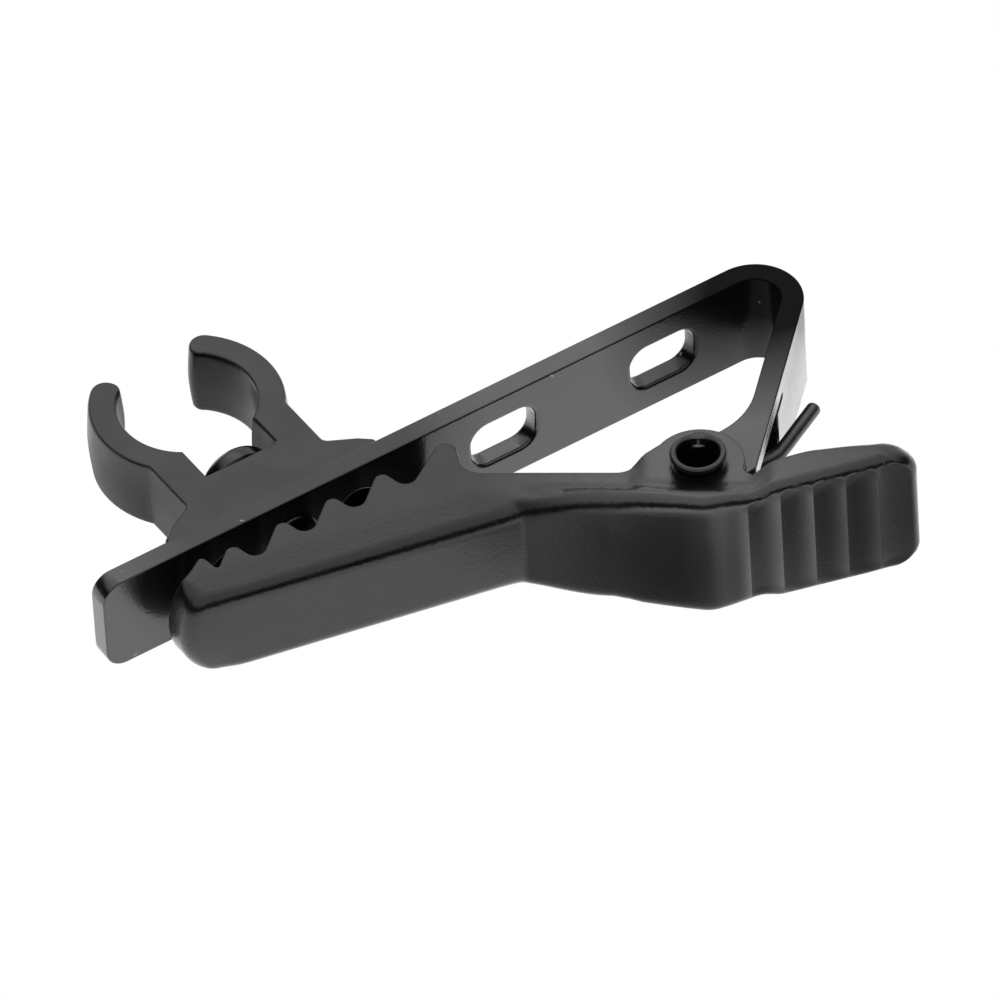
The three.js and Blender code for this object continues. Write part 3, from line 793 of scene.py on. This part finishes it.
def finish(name, colour, rough, specular, grain, bump, chips=0.0, metallic=0.0, spots=(), painted_jaw_shine=False):
    """A finish with fine grain in the relief, cloudy roughness and tone, and optional pale chips.

    Each of spots has a plan point, a factor on the shine there, and the two radii in millimetres between
    which it fades out; each spot is painted shade or a painted highlight in the reflections round its point.
    The last flag adds painted highlights on the crests of the jaw's ribs, painted shade in their hollows,
    and painted shade on the flare."""
    mat = bpy.data.materials.new(name)
    mat.use_nodes = True
    tree = mat.node_tree
    shader = tree.nodes["Principled BSDF"]
    where = add_node(tree, "TexCoord").outputs["Object"]
    cloud = noise(tree, where, CLOUD_SCALE, 3)
    dark, light = [(*[c * share for c in colour], 1) for share in TONE_RANGE]
    tone = mix(tree, spread(tree, cloud, 0, 1), dark, light, "RGBA")
    if chips:
        flecks = spread(tree, noise(tree, where, CHIP_SCALE, 2), 0, chips, *CHIP_RANGE)
        tone = mix(tree, flecks, tone, CHIP_COLOUR, "RGBA")
    relief = add_node(tree, "Bump")
    feed_all(tree, relief, Strength=bump, Distance=RELIEF_DEPTH, Height=noise(tree, where, grain, 2))
    sheen = specular
    # Painted light: each spot scales the shine round its point, painted shade below 1, painted highlight
    # above.
    for centre, factor, (start, end) in spots:
        gap = measure(tree, "DISTANCE", where, place(centre))
        sheen = maths(tree, "MULTIPLY", spread(tree, gap, factor, 1.0, start * MM, end * MM), sheen)
    # Painted highlights on the rib crests, painted shade in their hollows and on the flare.
    if painted_jaw_shine:
        sheen = painted_rib_and_flare_shine(tree, where, sheen)
    roughness = spread(tree, cloud, *[rough * share for share in ROUGH_RANGE])
    # The socket's own value, for a reader that drops what is linked to it.
    shader.inputs["Specular IOR Level"].default_value = specular
    feed_all(tree, shader, Base_Color=tone, Roughness=roughness, Normal=relief.outputs["Normal"],
             Metallic=metallic, Specular_IOR_Level=sheen)
    return mat


def dress(obj, node, body, material, sharp=38):
    shade(obj, sharp)
    obj.data.materials.clear()
    obj.data.materials.append(material)
    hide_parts(node)
    if body:
        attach(obj, body)


def build():
    # Painted light: the strip's shine is cut to painted shade round its bend and round the holder's end of
    # its side.
    bend_shade_point, holder_shade_point = (BEND_X + 0.5, -BEND_R, STRIP_W / 2), (HOLDER_X + 1, 0, STRIP_W / 2)
    paint = finish("strip paint", (0.006, 0.006, 0.0062), 0.21, 0.95, 5200, 0.25, chips=0.5,
                   spots=[(bend_shade_point, 0.05, (3, 10)), (holder_shade_point, 0.6, (7, 12))])
    # Painted light: the jaw's shine is raised to a painted highlight round the ear.
    cast = finish("jaw paint", (0.007, 0.007, 0.0073), 0.27, 0.6, 4200, 0.45,
                  spots=[((*PIVOT, EAR_Z), 1.7, (3.5, 12))], painted_jaw_shine=True)
    black = finish("rivet black", (0.005, 0.005, 0.005), 0.22, 0.65, 3000, 0.2)
    steel = finish("spring steel", (0.09, 0.088, 0.085), 0.33, 0.5, 6000, 0.15, metallic=0.8)
    plastic = finish("holder plastic", (0.009, 0.009, 0.0093), 0.38, 0.7, 3600, 0.35)

    dress(strip(), "clip_strip", "strip", paint)
    dress(jaw(), "lower_jaw", "jaw", cast)
    dress(rivet(), "pivot_rivet", "strip", black)
    dress(holder_pin(), "holder_rivet", "strip", black)
    dress(holder(), "mic_holder", "holder", plastic)
    wire = spring()
    dress(wire, "torsion_spring", None, steel, 60)
    place((*PIVOT, COIL_Z + WIRE_R))
    place((*PIVOT, COIL_Z + COIL_RISE - WIRE_R))
    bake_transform(wire)


# Set, light and camera ----------------------------------------------------------------------------

def floor():
    """Plain white to the camera; the light it gives is stronger or weaker over a few patches."""
    mesh = bpy.data.meshes.new("floor")
    corners = [(x * FLOOR_SIZE, y * FLOOR_SIZE, 0) for x, y in ((-1, -1), (1, -1), (1, 1), (-1, 1))]
    mesh.from_pydata(corners, [], [(0, 1, 2, 3)])
    obj = bpy.data.objects.new("floor", mesh)
    bpy.context.collection.objects.link(obj)
    mat = bpy.data.materials.new("floor white")
    mat.use_nodes = True
    tree = mat.node_tree
    tree.nodes.clear()
    where = add_node(tree, "TexCoord").outputs["Object"]
    total = FLOOR_LIGHT
    for spot, (start, end), change in FLOOR_PATCHES:
        gap = measure(tree, "DISTANCE", where, (*place((*spot, 0)).xy, 0))
        patch = spread(tree, gap, change, 0.0, start * MM, end * MM, "SMOOTHSTEP")
        total = maths(tree, "ADD", patch, total)
    glow = add_node(tree, "Emission")
    feed_all(tree, glow, Strength=unseen(tree, total))
    feed_all(tree, add_node(tree, "OutputMaterial"), Surface=glow.outputs["Emission"])
    mesh.materials.append(mat)


def world():
    """A dim room with soft lit panels; the camera sees plain white."""
    sky = bpy.data.worlds.new("studio")
    bpy.context.scene.world = sky
    sky.use_nodes = True
    tree = sky.node_tree
    where = add_node(tree, "TexCoord").outputs["Generated"]
    total = SKY
    for direction, start, full, strength in LOBES:
        towards = measure(tree, "DOT_PRODUCT", where, Vector(direction).normalized())
        lobe = spread(tree, towards, 0.0, strength, start, full, "SMOOTHSTEP")
        total = maths(tree, "ADD", lobe, total)
    feed_all(tree, tree.nodes["Background"], Color=(1, 1, 1, 1), Strength=unseen(tree, total))


def camera():
    az, el, roll = CAMERA_AZ, CAMERA_EL, CAMERA_ROLL
    back = Vector((math.sin(az) * math.cos(el), -math.cos(az) * math.cos(el), math.sin(el)))
    right = Vector((math.cos(az), math.sin(az), 0))
    up = back.cross(right)
    right, up = right * math.cos(roll) + up * math.sin(roll), up * math.cos(roll) - right * math.sin(roll)
    data = bpy.data.cameras.new("camera")
    data.sensor_width = CAMERA_SENSOR
    data.lens = CAMERA_LENS
    data.clip_start, data.clip_end = 0.01, 20
    obj = bpy.data.objects.new("camera", data)
    bpy.context.collection.objects.link(obj)
    turn = Matrix((right, up, back)).transposed().to_4x4()
    obj.matrix_world = Matrix.Translation(place(CAMERA_TARGET) + back * CAMERA_REACH) @ turn
    bpy.context.scene.camera = obj


build()
floor()
world()
camera()
bpy.context.scene.view_settings.view_transform = "Standard"
bpy.context.scene.view_settings.gamma = GAMMA
